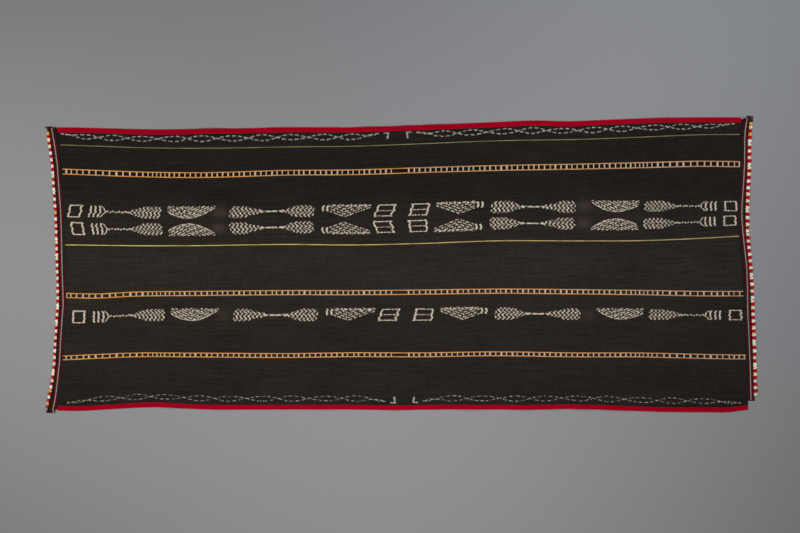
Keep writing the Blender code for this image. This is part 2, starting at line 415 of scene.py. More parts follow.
def box(along, depth, middle, half_length, wave, bars):
    """A box outline with thick wavy sides, and thin bars across it: (depth, thickness) each."""
    wavy = along + wave * triangle_wave(depth / BOX_WAVE_DEPTH + 0.2)
    sides = np.abs(band_of(wavy, middle, half_length)) - STROKE / 2
    figure = both(sides, band_of(depth, BOX_MIDDLE, BOX_HALF_DEPTH))
    reach = band_of(along, middle, half_length + BAR_OVERHANG)
    return either(figure, *(both(band_of(depth, bar, thick / 2), reach) for bar, thick in bars))


print(f"a row is {ROW_DEPTH} mm deep, {BUNDLES} bundles of {ROW_DEPTH / BUNDLES:.1f} mm")

# %% [markdown]
# ## The chart of one row
# Each row is the same set of figures twice over, mirrored about its middle. Distances run outwards
# from the middle: a box of two cells, a triangle, a long double paddle, a half disc, a paddle with
# a dotted stem, a comb of four arcs, and a box at the very end. Every number is in millimetres,
# along from the row's middle and depth from its flat side.

# %% Chart of the boxes and the triangle
MID_DEPTH = ROW_DEPTH / 2


def two_cell_box(along, depth):
    bars = ((2.4, 2.8), (20.0, 2.4), (37.3, 2.8))
    return box(along, depth, middle=55.0, half_length=26.5, wave=2.4, bars=bars)


def end_box(along, depth):
    bars = ((1.0, 3.4), (38.6, 3.4))
    return box(along, depth, middle=1047.0, half_length=17.8, wave=1.0, bars=bars)


def triangle(along, depth):
    """Nested dashed lines along the two sloping sides, and two short bars at the outer tip."""
    from_tip = np.abs(along - 184.0)
    inwards = 37.0 - depth - 0.36 * from_tip
    nested = dashed_lines(along, inwards, spacing=7.8, thickness=3.3, pitch=17.0, dash=12.5)
    flat = both(band_of(depth, 2.0, 1.6), band_of((along - 4.0) % 14.0, 7.0, 4.2))
    fill = both(either(nested, flat), -1.6 - inwards, band_of(along, 169.0, 63.0))
    wavy = along + 1.5 * triangle_wave(depth / 15.0)
    bars = either(band_of(wavy, 254.0, 3.0), band_of(wavy, 240.0, 3.0))
    return either(fill, both(bars, band_of(depth, 10.5, 9.5)))


print(f"two boxes and a triangle, up to {ROW_DEPTH} mm deep")

# %% [markdown]
# The paddles, the half disc and the comb have curved outlines. An outline is a short list of
# places along the figure, each with its depth, or half of it for a paddle, and straight lines join
# them. Slanting strokes or chevrons fill it.

# %% Chart of the curved figures and of the whole row
DOUBLE_PADDLE = (
    (282, 13), (290, 19), (330, 19.5), (350, 16), (360, 11), (375, 6), (390, 3.5), (400, 2.4),
    (444, 2.4), (456, 7), (475, 10), (494, 13), (500, 18), (508, 19.5), (545, 19.5), (554, 13),
)
PADDLE = ((771, 12), (780, 19.5), (826, 19.5), (850, 13), (874, 4.0), (882, 2.2))
HALF_DISC = (
    (599, 3), (606, 8), (625, 20), (645, 31), (665, 36.5), (687, 39),
    (704, 36.5), (722, 31.5), (738, 26), (748, 21), (755, 11),
)
ARCS = ((999.0, 1.0), (985.5, 2.5), (972.0, 5.0), (966.0, 15.0))


def profile(along, table):
    places, reaches = zip(*table)
    return np.interp(along, places, reaches, left=-FAR, right=-FAR)


def double_paddle(along, depth):
    """Two blades of slanting strokes that lean towards each other, and a dashed line between."""
    outline = band_of(depth, MID_DEPTH, profile(along, DOUBLE_PADDLE))
    from_waist, down = np.abs(along - 412.0), depth + 4.0
    fill = slanting_strokes(from_waist, down, pitch=13.6, swing=5.2, slant_depth=16.0, share=0.38)
    dashed = both(band_of(depth, MID_DEPTH, 2.2), band_of((along - 353.0) % 22.0, 11.0, 8.0))
    return either(both(fill, outline), both(dashed, band_of(along, 414.0, 42.0)))


def half_disc(along, depth):
    """Nested chevrons under a flat edge, closed by an arc that is blunt on its outer side.

    The real chevrons lie about 6 mm apart, too fine to show from so far, so they are drawn coarser.
    """
    reach = profile(along, HALF_DISC)
    down = depth + 0.5 * np.abs(along - 687.0)
    fill = dashed_lines(along, down, spacing=7.9, thickness=3.7, pitch=20.0, dash=16.0)
    edge = both(band_of(depth, reach - 1.4, 1.1), band_of(along, 684.0, 70.0))
    return either(both(fill, depth - reach), edge)


def paddle_and_stem(along, depth):
    """One blade of slanting strokes, and a stem of dots that stand up and down in turn."""
    outline = band_of(depth, MID_DEPTH, profile(along, PADDLE))
    start, down = along - 771.0, depth + 6.0
    fill = slanting_strokes(start, down, pitch=12.8, swing=4.8, slant_depth=15.0, share=0.38)
    zigzag = MID_DEPTH + 1.6 * triangle_wave(along / 19.0)
    dots = both(band_of(depth, zigzag, 2.4), band_of((along - 872.0) % 9.6, 4.8, 3.1))
    return either(both(fill, outline), both(dots, band_of(along, 910.0, 42.0)))


def comb(along, depth):
    """Four arcs that bulge towards the stem, the last one pointed where the stem meets it."""
    spread = np.clip(np.abs(depth - MID_DEPTH) / MID_DEPTH, 0.0, 1.0)
    figure = np.full_like(along, FAR)
    for start, bulge in ARCS:
        wavy = start - bulge * (1.0 - spread ** 1.4) + 1.4 * triangle_wave(depth / 13.0)
        figure = either(figure, band_of(along, wavy, STROKE / 2 - 0.04 * bulge))
    return both(figure, band_of(depth, MID_DEPTH, 18.5))


FIGURES = (two_cell_box, triangle, double_paddle, half_disc, paddle_and_stem, comb, end_box)


def row_chart(along, depth):
    """Distance in millimetres to the nearest pale stroke of one row."""
    return np.clip(either(*(shape(along, depth) for shape in FIGURES)), -FAR, FAR)


print("figures in a row:", 2 * len(FIGURES))

# %% [markdown]
# ## Where the rows lie, and how the dyed warps slipped
# When the dyed bundles were put on the loom they slipped a little past each other, so an upright
# edge comes out ragged and a whole box may lean. Each bundle gets its own small slip that changes
# slowly along the cloth. The second row is the first one turned upside down.

# %% Rows of figures
# leans and drops are in millimetres, at LEAN_PLACES and DROP_PLACES along the cloth: how far west
# the row's other side lies of its flat side, and how far south the whole row lies.
TiedRow = namedtuple(
    "TiedRow", "north_side middle flat_side_up west_stretch east_stretch leans drops"
)
TIED_ROWS = (
    TiedRow(
        0.1980, middle=0.0045, flat_side_up=True, west_stretch=1.0, east_stretch=1.003,
        leans=(8.6, 8.0, 4.0, 18.0, 10.0, 5.0, 4.0, -1.0), drops=(0.0, 0.0, 0.0, 3.3, 11.3),
    ),
    TiedRow(
        0.1455, middle=0.0, flat_side_up=False, west_stretch=0.988, east_stretch=1.005,
        leans=(6.6, 6.0, 4.0, 15.0, 2.0, 2.0, 2.0, 1.0), drops=(3.5, 0.0, 0.0, 4.3, 4.8),
    ),
    TiedRow(
        -0.1415, middle=0.0166, flat_side_up=True, west_stretch=1.0, east_stretch=1.006,
        leans=(1.0, 4.0, 4.0, 15.4, 6.0, 4.0, 3.0, -1.0), drops=(-3.0, 0.0, 0.0, -1.9, -4.3),
    ),
)
LEAN_PLACES = (-1.06, -0.55, -0.13, -0.09, 0.09, 0.13, 0.55, 1.06)
DROP_PLACES = (-1.06, -0.35, 0.35, 0.82, 1.08)
NARROWED_FROM, NARROWED_TO, NARROWED_BY = 0.35, 1.05, 0.26
OVERSHOOT = 2.0
SLIP = 1.3
SLIP_SEED = 5
SLIP_STATIONS = 44
CLOTH_HALF_LENGTH = 1.2


def slip_of(dice, x, depth):
    """How far each bundle has slipped along the cloth, in millimetres."""
    table = dice.normal(0.0, SLIP, (BUNDLES + 1, SLIP_STATIONS))
    bundle = np.clip(depth / ROW_DEPTH * BUNDLES, 0.0, BUNDLES - 0.001)
    station = (x / CLOTH_HALF_LENGTH + 1.0) / 2 * (SLIP_STATIONS - 1.001)
    row = np.floor(bundle).astype(int)
    column = np.floor(station).astype(int)
    onward = station - column
    here, above = (
        table[line, column] * (1 - onward) + table[line, column + 1] * onward
        for line in (row, row + 1)
    )
    return here * (1 - bundle + row) + above * (bundle - row)


def tied_distance(x, warp):
    """Distance to the nearest pale stroke in millimetres; at the east end the rows are narrower."""
    distance = np.full_like(x, FAR)
    dice = np.random.default_rng(SLIP_SEED)
    eastwards = np.clip((x - NARROWED_FROM) / (NARROWED_TO - NARROWED_FROM), 0.0, 1.0)
    for row in TIED_ROWS:
        from_north = (row.north_side - warp) / MM - np.interp(x, DROP_PLACES, row.drops)
        from_north = MID_DEPTH + (from_north - MID_DEPTH) * (1.0 + NARROWED_BY * eastwards)
        depth = from_north if row.flat_side_up else ROW_DEPTH - from_north
        inside = (depth > -FAR) & (depth < ROW_DEPTH + FAR)
        lean = np.interp(x, LEAN_PLACES, row.leans) * (depth / ROW_DEPTH - 0.5)
        slipped = (x - row.middle) / MM + lean + slip_of(dice, x, depth)
        stretch = np.where(x < row.middle, row.west_stretch, row.east_stretch)
        chart = row_chart(np.abs(slipped) / stretch, depth)
        chart = both(chart, band_of(depth, MID_DEPTH, MID_DEPTH + OVERSHOOT))
        distance = np.where(inside, either(distance, chart), distance)
    return distance


print(f"{len(TIED_ROWS)} rows, bundles slip by about {SLIP} mm")

# %% [markdown]
# Where a wrapping was loose, dye crept under it. That left a brown stain between two figures, and
# a line of faint dashes along the second row. They are one more value for the points of the cloth.

# %% Brown stains
# In millimetres, but for the strengths: brown stains just outside the double paddles, and brown
# dashes along the second row, in the stretches (along, half length) of BROWN_RUNS.
STAIN_AT, STAIN_HALF_LENGTH, STAIN_HALF_DEPTH = 584.0, 40.0, 30.0
STAIN_STRENGTHS = (1.0, 1.0, 0.6)
BROWN_RUNS = ((425.0, 62.0), (900.0, 34.0))
BROWN_PITCH, BROWN_HALF_DASH = 19.0, 8.0
BROWN_DEPTH, BROWN_HALF_DEPTH = 34.5, 3.2
BROWN_STRENGTH, DARKEST_STAIN = 1.1, 1.2


def crept_dye(x, warp):
    """Where dye crept under the wrapping and left a brown stain: 1 in the middle of a stain."""
    stain = np.zeros_like(x)
    for row, strength in zip(TIED_ROWS, STAIN_STRENGTHS):
        depth = (row.north_side - warp) / MM
        along = np.abs(x - row.middle) / MM
        spot = bell(along - STAIN_AT, STAIN_HALF_LENGTH) * bell(depth - MID_DEPTH, STAIN_HALF_DEPTH)
        stain += strength * spot
    second = TIED_ROWS[1]
    along = np.abs(x - second.middle) / MM
    dash = bell((along % BROWN_PITCH) - BROWN_PITCH / 2, BROWN_HALF_DASH)
    dash *= bell((warp - second.north_side) / MM + BROWN_DEPTH, BROWN_HALF_DEPTH)
    reached = np.any([np.abs(along - place) < half for place, half in BROWN_RUNS], axis=0)
    return np.clip(stain + BROWN_STRENGTH * dash * reached, 0.0, DARKEST_STAIN)


print(f"{2 * len(TIED_ROWS)} stains, and dashes every {BROWN_PITCH} mm")

# %% [markdown]
# ## Dashed chains along the edges
# Beside each red band two lines of short pale dashes weave over each other, so they make a chain
# of long lozenges. Near the middle of the blanket the chain ends on both sides in a small hook.

# %% Dashed chains and hooks
Chain = namedtuple("Chain", "warp centre lozenge thickness outwards post_at bar_at")
CHAINS = (
    Chain(0.4188, centre=-11.0, lozenge=96.0, thickness=3.4, outwards=1, post_at=0.5, bar_at=9.0),
    Chain(-0.4292, centre=10.0, lozenge=101.0, thickness=2.2, outwards=-1, post_at=3.5, bar_at=12.0),
)
# Lengths in millimetres. The two lines close on each other over a first and a last stretch.
CHAIN_FIRST, CHAIN_LAST = 58.0, 1078.0
FIRST_CLOSING, LAST_CLOSES_FROM, LAST_CLOSING = 60.0, 1000.0, 70.0
CHAIN_SWING, CHAIN_RISE = 8.0, 9.0
WOBBLE, WOBBLE_LENGTH = 0.8, 17.0
DASH, DASH_PITCH = 12.6, 19.0
DASH_SHIFT, DASH_SHIFT_LENGTH, STRAND_SHIFT = 4.0, 53.0, 5.0
HOOK_PLACE, HOOK_LEAN = 31.0, 0.15
POST_HALF_WIDTH, POST_HALF_HEIGHT = 2.8, 10.0
HOOK_BAR, BAR_HALF_HEIGHT = 13.0, 1.8


def chain_distance(x, warp):
    """Distance to the nearest dash or hook of the two chains, in millimetres."""
    distance = np.full_like(x, FAR)
    for chain in CHAINS:
        along = np.abs(x / MM - chain.centre)
        out = (warp - chain.warp) / MM * chain.outwards
        first = 1.0 - (along - CHAIN_FIRST) / FIRST_CLOSING
        last = (along - LAST_CLOSES_FROM) / LAST_CLOSING
        closed = np.clip(np.maximum(first, last), 0.0, 1.0)
        reach = band_of(along, (CHAIN_FIRST + CHAIN_LAST) / 2, (CHAIN_LAST - CHAIN_FIRST) / 2)
        for strand in (-1, 1):
            wave = strand * CHAIN_SWING * np.sin(math.pi * along / chain.lozenge) * (1.0 - closed)
            line = wave + CHAIN_RISE * closed + WOBBLE * np.sin(along / WOBBLE_LENGTH + strand)
            shifted = along + DASH_SHIFT * np.sin(along / DASH_SHIFT_LENGTH + 2.0 * strand)
            shifted += STRAND_SHIFT * strand * (1.0 - closed)
            dash = band_of(shifted % DASH_PITCH, DASH_PITCH / 2, DASH / 2)
            stroke = both(band_of(out, line, chain.thickness / 2), dash, reach)
            distance = either(distance, stroke)
        post = band_of(along, HOOK_PLACE - HOOK_LEAN * out, POST_HALF_WIDTH)
        post = both(post, band_of(out, chain.post_at, POST_HALF_HEIGHT))
        bar = band_of(along, HOOK_PLACE + HOOK_BAR / 2, HOOK_BAR / 2)
        bar = both(bar, band_of(out, chain.bar_at, BAR_HALF_HEIGHT))
        distance = either(distance, post, bar)
    return np.clip(distance, -FAR, FAR)


print(f"{len(CHAINS)} chains of dashes {DASH} mm long")

# %% [markdown]
# ## Rungs of the ladders
# The rungs of a ladder stand closer together or further apart along the cloth. They are counted
# outwards from a blank cell at the middle, and the count goes on the points for the finish.

# %% Rungs of the ladders
BLANK_CENTRE, BLANK_HALF = -3.0, 25.1
RUNG_SPACINGS = (
    (20, 17.4), (700, 17.4), (745, 14.5), (775, 12.5), (800, 14.0),
    (835, 20.5), (900, 22.4), (1000, 21.0), (1050, 17.0), (1140, 16.2),
)
COUNT_STEP = 2.0


def rungs_along(x):
    """Count of ladder rungs from the blank cell at the middle, with their uneven spacing."""
    from_middle, spacing = zip(*RUNG_SPACINGS)
    fine = np.arange(0.0, from_middle[-1], COUNT_STEP)
    count = np.cumsum(COUNT_STEP / np.interp(fine, from_middle, spacing))
    blank = np.interp(BLANK_HALF, fine, count)
    return np.interp(np.abs(x / MM - BLANK_CENTRE), fine, count) - blank


print("rungs on each half of a ladder:", int(rungs_along(np.array([1.09]))[0]))

# %% [markdown]
# ## Weave the field
# The field is a grid whose rows are warps. Rows stand close together where figures are charted and
# further apart on the plain cloth, so the points go where the drawing needs them. Soft creases
# that the cloth keeps from being folded away are added on top of the frame's own heights.

# %% Rows, columns and creases of the field
COLUMNS = 780
# Each zone of warps: the place of its north side, and its step in millimetres.
ROW_ZONES = (
    (SOUTH_RIM + 8 * MM, 4.0),
    (SOUTH_RIM + 35 * MM, 2.7),
    (-0.1845, 19.0),
    (-0.1370, 2.64),
    (0.1010, 19.0),
    (0.2010, 2.64),
    (0.4020, 18.0),
    (0.4310, 2.7),
    (NORTH_RIM, 2.5),
)
Crease = namedtuple("Crease", "x y half_length turn half_width height")
CREASES = tuple(Crease(*row) for row in (
    (-0.15, -0.244, 0.95, 0.6, 0.034, 0.9),
    (0.25, -0.337, 0.80, -0.8, 0.040, 1.0),
    (-0.30, 0.010, 0.75, 1.0, 0.045, 0.8),
    (0.60, 0.020, 0.45, -1.2, 0.038, 0.7),
    (0.05, 0.240, 0.90, 0.4, 0.042, 0.7),
    (-0.70, -0.390, 0.35, -1.5, 0.030, 0.8),
    (0.86, -0.060, 0.30, 88.0, 0.022, 0.8),
    (-0.545, 0.120, 0.28, 91.0, 0.024, 0.6),
    (-0.90, 0.060, 0.30, 84.0, 0.050, 0.6),
    (0.32, -0.180, 0.26, 93.0, 0.040, 0.5),
    (-0.18, 0.150, 0.30, 87.0, 0.046, 0.5),
))
CREASE_WANDER = 0.35
FIELD_THICKNESS = 1.5 * MM


def row_levels():
    """The place of every row of the grid, as a warp coordinate."""
    levels = [SOUTH_RIM]
    for north, step in ROW_ZONES:
        count = max(1, round((north - levels[-1]) / (step * MM)))
        levels += list(np.linspace(levels[-1], north, count + 1)[1:])
    return np.array(levels)


def creased(x, y):
    """Height that the creases add, in metres."""
    height = np.zeros_like(x)
    for crease in CREASES:
        angle = math.radians(crease.turn)
        along = (x - crease.x) * math.cos(angle) + (y - crease.y) * math.sin(angle)
        across = (y - crease.y) * math.cos(angle) - (x - crease.x) * math.sin(angle)
        wander = np.sin(along / crease.half_length * 4.0 + crease.x * 9.0)
        across += CREASE_WANDER * crease.half_width * wander
        ridge = bell(along, crease.half_length) * bell(across, crease.half_width)
        height += crease.height * MM * ridge
    return height


levels = row_levels()
upper_triangles = 2 * COLUMNS * (len(levels) - 1)
print(f"{COLUMNS} columns by {len(levels)} warps: {upper_triangles} triangles on the upper side")

# %% [markdown]
# ## Helpers for cloth pieces
# Every cloth here starts as a grid primitive with the right number of rows and columns, whose
# points are then laid out. Values for the finish are stored on the points or in a UV map, and a
# Solidify modifier gives the thickness.

# %% Helpers for cloth pieces


def deselect_all():
    if bpy.context.mode != "OBJECT":
        bpy.ops.object.mode_set(mode="OBJECT")
    bpy.ops.object.select_all(action="DESELECT")


def pick(piece):
    """Makes a piece the only selected one."""
    deselect_all()
    piece.select_set(True)
    bpy.context.view_layer.objects.active = piece


def add_grid(name, x, y, z):
    """A grid primitive laid out on arrays of places, rows first."""
    deselect_all()
    rows, columns = x.shape
    bpy.ops.mesh.primitive_grid_add(x_subdivisions=columns - 1, y_subdivisions=rows - 1, size=1.0)
    piece = bpy.context.object
    piece.name = name
    piece.data.name = name
    piece.data.vertices.foreach_set("co", np.stack((x, y, z), axis=-1).ravel())
    piece.data.update()
    return piece


def store_on_points(piece, name, values):
    attribute = piece.data.attributes.new(name=name, type="FLOAT", domain="POINT")
    attribute.data.foreach_set("value", values.ravel().astype(np.float32))


def store_uv(piece, name, u, v):
    """Gives each corner of the mesh its point's two coordinates."""
    mesh = piece.data
    layer = mesh.uv_layers[0] if mesh.uv_layers else mesh.uv_layers.new()
    layer.name = name
    corners = np.empty(len(mesh.loops), dtype=np.int32)
    mesh.loops.foreach_get("vertex_index", corners)
    pairs = np.stack((u.ravel()[corners], v.ravel()[corners]), axis=-1)
    layer.data.foreach_set("uv", pairs.ravel().astype(np.float32))


def thicken(piece, thickness):
    """Turns a surface into a thin closed cloth, below its upper side."""
    pick(piece)
    solid = piece.modifiers.new("cloth_thickness", "SOLIDIFY")
    solid.thickness = thickness
    bpy.ops.object.modifier_apply(modifier=solid.name)


column_step = (FIELD_EAST[1][0] - FIELD_WEST[1][0]) / COLUMNS
print(f"the field's columns stand {column_step / MM:.2f} mm apart")

# %% [markdown]
# ## The field cloth
# The distances to the pale figures are stored on the points of the grid. A UV map holds the two
# cloth coordinates in metres, so that every woven pattern follows the warps.

# %% Lay out the field cloth
# A point's x depends on its y and the other way round, so they are settled in turns.
SETTLING_PASSES = 3
share = np.linspace(0.0, 1.0, COLUMNS + 1)[None, :]
warp = np.repeat(levels[:, None], COLUMNS + 1, axis=1)
x = on_line(FIELD_WEST, warp) * (1 - share) + on_line(FIELD_EAST, warp) * share
for _ in range(SETTLING_PASSES):
    y = y_of_warp(x, warp)
    x = on_line(FIELD_WEST, y) * (1 - share) + on_line(FIELD_EAST, y) * share
y = y_of_warp(x, warp)
z = heights_over("field_cloth", x, y) + creased(x, y)
field = add_grid("field_cloth_woven", x, y, z)
store_uv(field, "warps", x, warp)
store_on_points(field, "tied", tied_distance(x, warp))
store_on_points(field, "chained", chain_distance(x, warp))
store_on_points(field, "rungs", rungs_along(x))
store_on_points(field, "crept", crept_dye(x, warp))
from_end = np.minimum(x - on_line(FIELD_WEST, y), on_line(FIELD_EAST, y) - x)
store_on_points(field, "from_end", from_end)
thicken(field, FIELD_THICKNESS)
print(f"field: {len(field.data.vertices)} points, {x.max() - x.min():.3f} m long")

# %% [markdown]
# The underside is plain and lies on the floor, so it doesn't need a point every few millimetres.
# Only its inner points are selected, by their faces' normals, and decimated. The rim keeps its
# points, so the cloth stays closed.

# %% Thin out the underside
UNDERSIDE_SHARE = 0.06
FIELD_SMOOTH_ANGLE = math.radians(40.0)
pick(field)
bpy.ops.object.mode_set(mode="EDIT")
bpy.ops.mesh.select_mode(type="FACE")
bpy.ops.mesh.select_all(action="DESELECT")
edit = bmesh.from_edit_mesh(field.data)
edit.normal_update()
for face in edit.faces:
    if face.normal.z < -0.5:
        face.select_set(True)
edit.select_flush_mode()
bmesh.update_edit_mesh(field.data)
bpy.ops.mesh.select_mode(type="VERT")
bpy.ops.mesh.select_less()
bpy.ops.mesh.decimate(ratio=UNDERSIDE_SHARE)
bpy.ops.object.mode_set(mode="OBJECT")
bpy.ops.object.shade_smooth_by_angle(angle=FIELD_SMOOTH_ANGLE)
field.data.calc_loop_triangles()
print(f"field after thinning: {len(field.data.loop_triangles)} triangles")

# %% [markdown]
# ## Dyed cotton warp
# Home-spun cotton, dyed in the yarn to a brown-black, shows the light only a little and has no
# gloss. Single warps took more or less dye, so fine streaks run the length of the cloth, and the
# weft shows as a faint grain across it. Near the red bands and at the hems the yarn is greener.

# %% Ground colour of the field
TONES = (
    (0.0, "24201D"), (0.22, "27221F"), (0.36, "29241F"), (0.52, "2C2722"),
    (0.64, "28231F"), (0.80, "211D1A"), (1.0, "221E1B"),
)
# Streaks of unevenly dyed warps, and last of wefts: length, width and how much they vary.
STREAKS = (
    (0.32, 0.11, 0.10), (0.16, 4 * MM, 0.24), (30 * MM, 5 * MM, 0.16), (5 * MM, 45 * MM, 0.12),
)
HEM_SOFTNESS = 1.2 * MM


def ground_colour(tree, cloth, across):
    """Brown-black cotton, lightest in the middle of the cloth, streaked along the warps."""
    place = add_node(tree, "MapRange", {0: across, 1: SOUTH_RIM, 2: NORTH_RIM})
    colour = add_node(tree, "ValToRGB", {0: place})
    ramp = colour.node.color_ramp
    ramp.interpolation = "EASE"
    for element, (position, tone) in zip(ramp.elements, (TONES[0], TONES[-1])):
        element.color = linear(tone)
    for position, tone in TONES[1:-1]:
        ramp.elements.new(position).color = linear(tone)
    for length, width, amount in STREAKS:
        colour = vary(tree, colour, streaks(tree, cloth, length, width), amount)
    hem = add_node(tree, "Attribute", output="Fac", attribute_name="from_end")
    edges = (
        (hem, 3.6 * MM, 2.0 * MM),
        (across, NORTH_RIM - 2 * MM, 3.0 * MM),
        (across, SOUTH_RIM + 2 * MM, 2.4 * MM),
    )
    green = linear("17221B")
    layers = [(green, within(tree, *edge, HEM_SOFTNESS)) for edge in edges]
    return paint(tree, colour, *layers)


print(len(TONES), "tones from the south edge to the north edge")

# %% [markdown]
# ## Ladders and single lines
# A ladder is two orange rails with cream rungs between them: small floats over a few black warps.
# The rungs stand closer together or further apart along the cloth, and one long cell is left
# blank at the middle. Two single yellow lines are a pair of warps each.

# %% Woven lines of the field
Ladder = namedtuple("Ladder", "place half_height cell")
LADDERS = (
    Ladder(LADDER_NORTH, half_height=7.8 * MM, cell="17130F"),
    Ladder(LADDER_MIDDLE, half_height=6.8 * MM, cell="29231D"),
    Ladder(LADDER_SOUTH, half_height=6.2 * MM, cell="231B16"),
)
SingleLine = namedtuple("SingleLine", "place half_width west_hue east_hue")
SINGLE_LINES = (
    SingleLine(THIN_LINE, 1.0 * MM, "8C8054", "8E7E5C"),
    SingleLine(THICK_LINE, 1.35 * MM, "C4B866", "AE9868"),
)
RAIL_HALF = 1.5 * MM
# Where a rung lies in its cell, its half width and its softness, as shares of the cell.
RUNG_MIDDLE, RUNG_HALF, RUNG_SOFTNESS = 0.40, 0.108, 0.05
BLANK_ENDS = -0.02
EDGE_SOFTNESS = 0.5 * MM
LINES_START = 4.2 * MM


def with_woven_lines(tree, ground, cloth, length, across):
    """Lays the three ladders and the two yellow lines over the ground, but not on the hems."""
    rungs = add_node(tree, "Attribute", output="Fac", attribute_name="rungs")
    wobbly = {0: streaks(tree, cloth, 16 * MM, 0.15, 0.0), 1: 0.5, 2: rungs}
    counted = add_node(tree, "Math", wobbly, operation="MULTIPLY_ADD")
    phase = add_node(tree, "Math", {0: counted}, operation="FRACT")
    beside = within(tree, phase, RUNG_MIDDLE, RUNG_HALF, RUNG_SOFTNESS)
    drawn = add_node(tree, "Math", {0: rungs, 1: BLANK_ENDS}, operation="GREATER_THAN")
    rung = add_node(tree, "Math", {0: beside, 1: drawn}, operation="MULTIPLY")
    patchy = streaks(tree, cloth, 40 * MM, 4 * MM, 1.0)
    eastwards = add_node(tree, "MapRange", {0: length, 1: -0.9, 2: 1.0})
    orange = paint(tree, linear("CE8E42"), (linear("C08C64"), eastwards))
    orange = vary(tree, orange, patchy, 0.25)
    cream = vary(tree, linear("C4B49C"), streaks(tree, cloth, 9 * MM, 5 * MM), 0.30)
    lined = ground
    for place, half_height, cell in LADDERS:
        inside = paint(tree, linear(cell), (cream, rung))
        lined = paint(
            tree, lined,
            (inside, within(tree, across, place, half_height, EDGE_SOFTNESS)),
            (orange, within(tree, across, place - half_height, RAIL_HALF, EDGE_SOFTNESS)),
            (orange, within(tree, across, place + half_height, RAIL_HALF, EDGE_SOFTNESS)),
        )
    for place, half_width, west_hue, east_hue in SINGLE_LINES:
        yellow = paint(tree, linear(west_hue), (linear(east_hue), eastwards))
        yellow = vary(tree, yellow, patchy, 0.30)
        line = within(tree, across, place, half_width, EDGE_SOFTNESS)
        lined = paint(tree, lined, (yellow, line))
    from_end = add_node(tree, "Attribute", output="Fac", attribute_name="from_end")
    begun = add_node(tree, "Math", {0: from_end, 1: LINES_START}, operation="GREATER_THAN")
    return paint(tree, ground, (lined, begun))


print(f"{len(LADDERS)} ladders, rails {2 * RAIL_HALF / MM:.1f} mm wide")

# %% [markdown]
# ## Pale figures
# The finish reads the stored distances and turns them into a mask. Noise drawn out along the warps
# is added first, because dye creeps under a wrapping along each yarn and leaves feathered ends.
# The pale cotton itself isn't even: it was touched by dye here and there.

# %% Tied figures of the field, and the whole finish
CREEP_LENGTH = 6.0 * MM
CREEP_WIDTH = 3.0 * MM
CREEP_REACH = 5.0
STROKE_SOFTNESS = 0.8
# Handspun warps lie about 0.7 mm apart, which is too fine to show, so they are drawn coarser.
YARN_SPACING = 1.6 * MM
WEFT_SPACING = 2.4 * MM
# The stored distances, with the tone of each and how much it covers.
PALE_FIGURES = (("chained", "A59D90", 0.9), ("tied", "C6B8A3", 1.0))


def with_tied_figures(tree, colour, cloth):
    """Lays the chains, the brown stains and the rows of figures over the cloth."""
    noise = streaks(tree, cloth, CREEP_LENGTH, CREEP_WIDTH)
    creep = add_node(tree, "Math", {0: noise, 1: 0.5}, operation="SUBTRACT")
    stain = add_node(tree, "Attribute", output="Fac", attribute_name="crept")
    mottled = add_node(tree, "MapRange", {0: creep, 1: -0.10, 2: 0.15, 3: 0.1, 4: 0.8})
    stained = add_node(tree, "Math", {0: stain, 1: mottled}, operation="MULTIPLY")
    colour = paint(tree, colour, (linear("54473E"), stained))
    faded = streaks(tree, cloth, 8 * MM, 4 * MM, 3.0)
    for name, tone, amount in PALE_FIGURES:
        distance = add_node(tree, "Attribute", output="Fac", attribute_name=name)
        reach = {0: creep, 1: CREEP_REACH, 2: distance}
        ragged = add_node(tree, "Math", reach, operation="MULTIPLY_ADD")
        limits = {0: ragged, 1: STROKE_SOFTNESS, 2: -STROKE_SOFTNESS, 3: 0.0, 4: amount}
        mask = add_node(tree, "MapRange", limits, interpolation_type="SMOOTHSTEP")
        colour = paint(tree, colour, (vary(tree, linear(tone), faded, 0.45), mask))
    return colour


def dyed_cotton_warp():
    """Warp-faced cotton, nearly black and matt, with woven lines and feathered pale figures."""
    material, tree = new_finish("dyed_cotton_warp", 0.88)
    cloth = add_node(tree, "UVMap", uv_map="warps")
    length, across = add_node(tree, "SeparateXYZ", {0: cloth}).node.outputs[:2]
    colour = ground_colour(tree, cloth, across)
    colour = with_woven_lines(tree, colour, cloth, length, across)
    colour = with_tied_figures(tree, colour, cloth)
    yarns = streaks(tree, cloth, 50 * MM, YARN_SPACING)
    wefts = streaks(tree, cloth, WEFT_SPACING, 20 * MM, 1.0)
    relief = add_node(tree, "Math", {0: yarns, 1: wefts}, operation="ADD")
    return cover(material, colour, relief, strength=0.6, depth=0.35 * MM)


field.data.materials.append(dyed_cotton_warp())
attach(field, BODY)
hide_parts("field_cloth")
print("field dressed with", field.data.materials[0].name)

# %% [markdown]
# ## Red side bands
# A narrow warp-faced band, woven separately in crimson cotton, is sewn along each long edge. Its
# few thick cords run its whole length, so it is a ribbed ribbon. A grid with points on each cord
# and in each furrow gives it those ribs as real relief.

# %% Red side bands
BAND_COLUMNS = 560
BAND_CORDS = 5
STEPS_PER_CORD = 4
CORD_RELIEF = 0.35 * MM
EDGE_DROOP = 0.5 * MM
DROOP_POWER = 6
BAND_OVERLAP = 0.8 * MM
BAND_THICKNESS = 2.0 * MM
BAND_SMOOTH_ANGLE = math.radians(50.0)


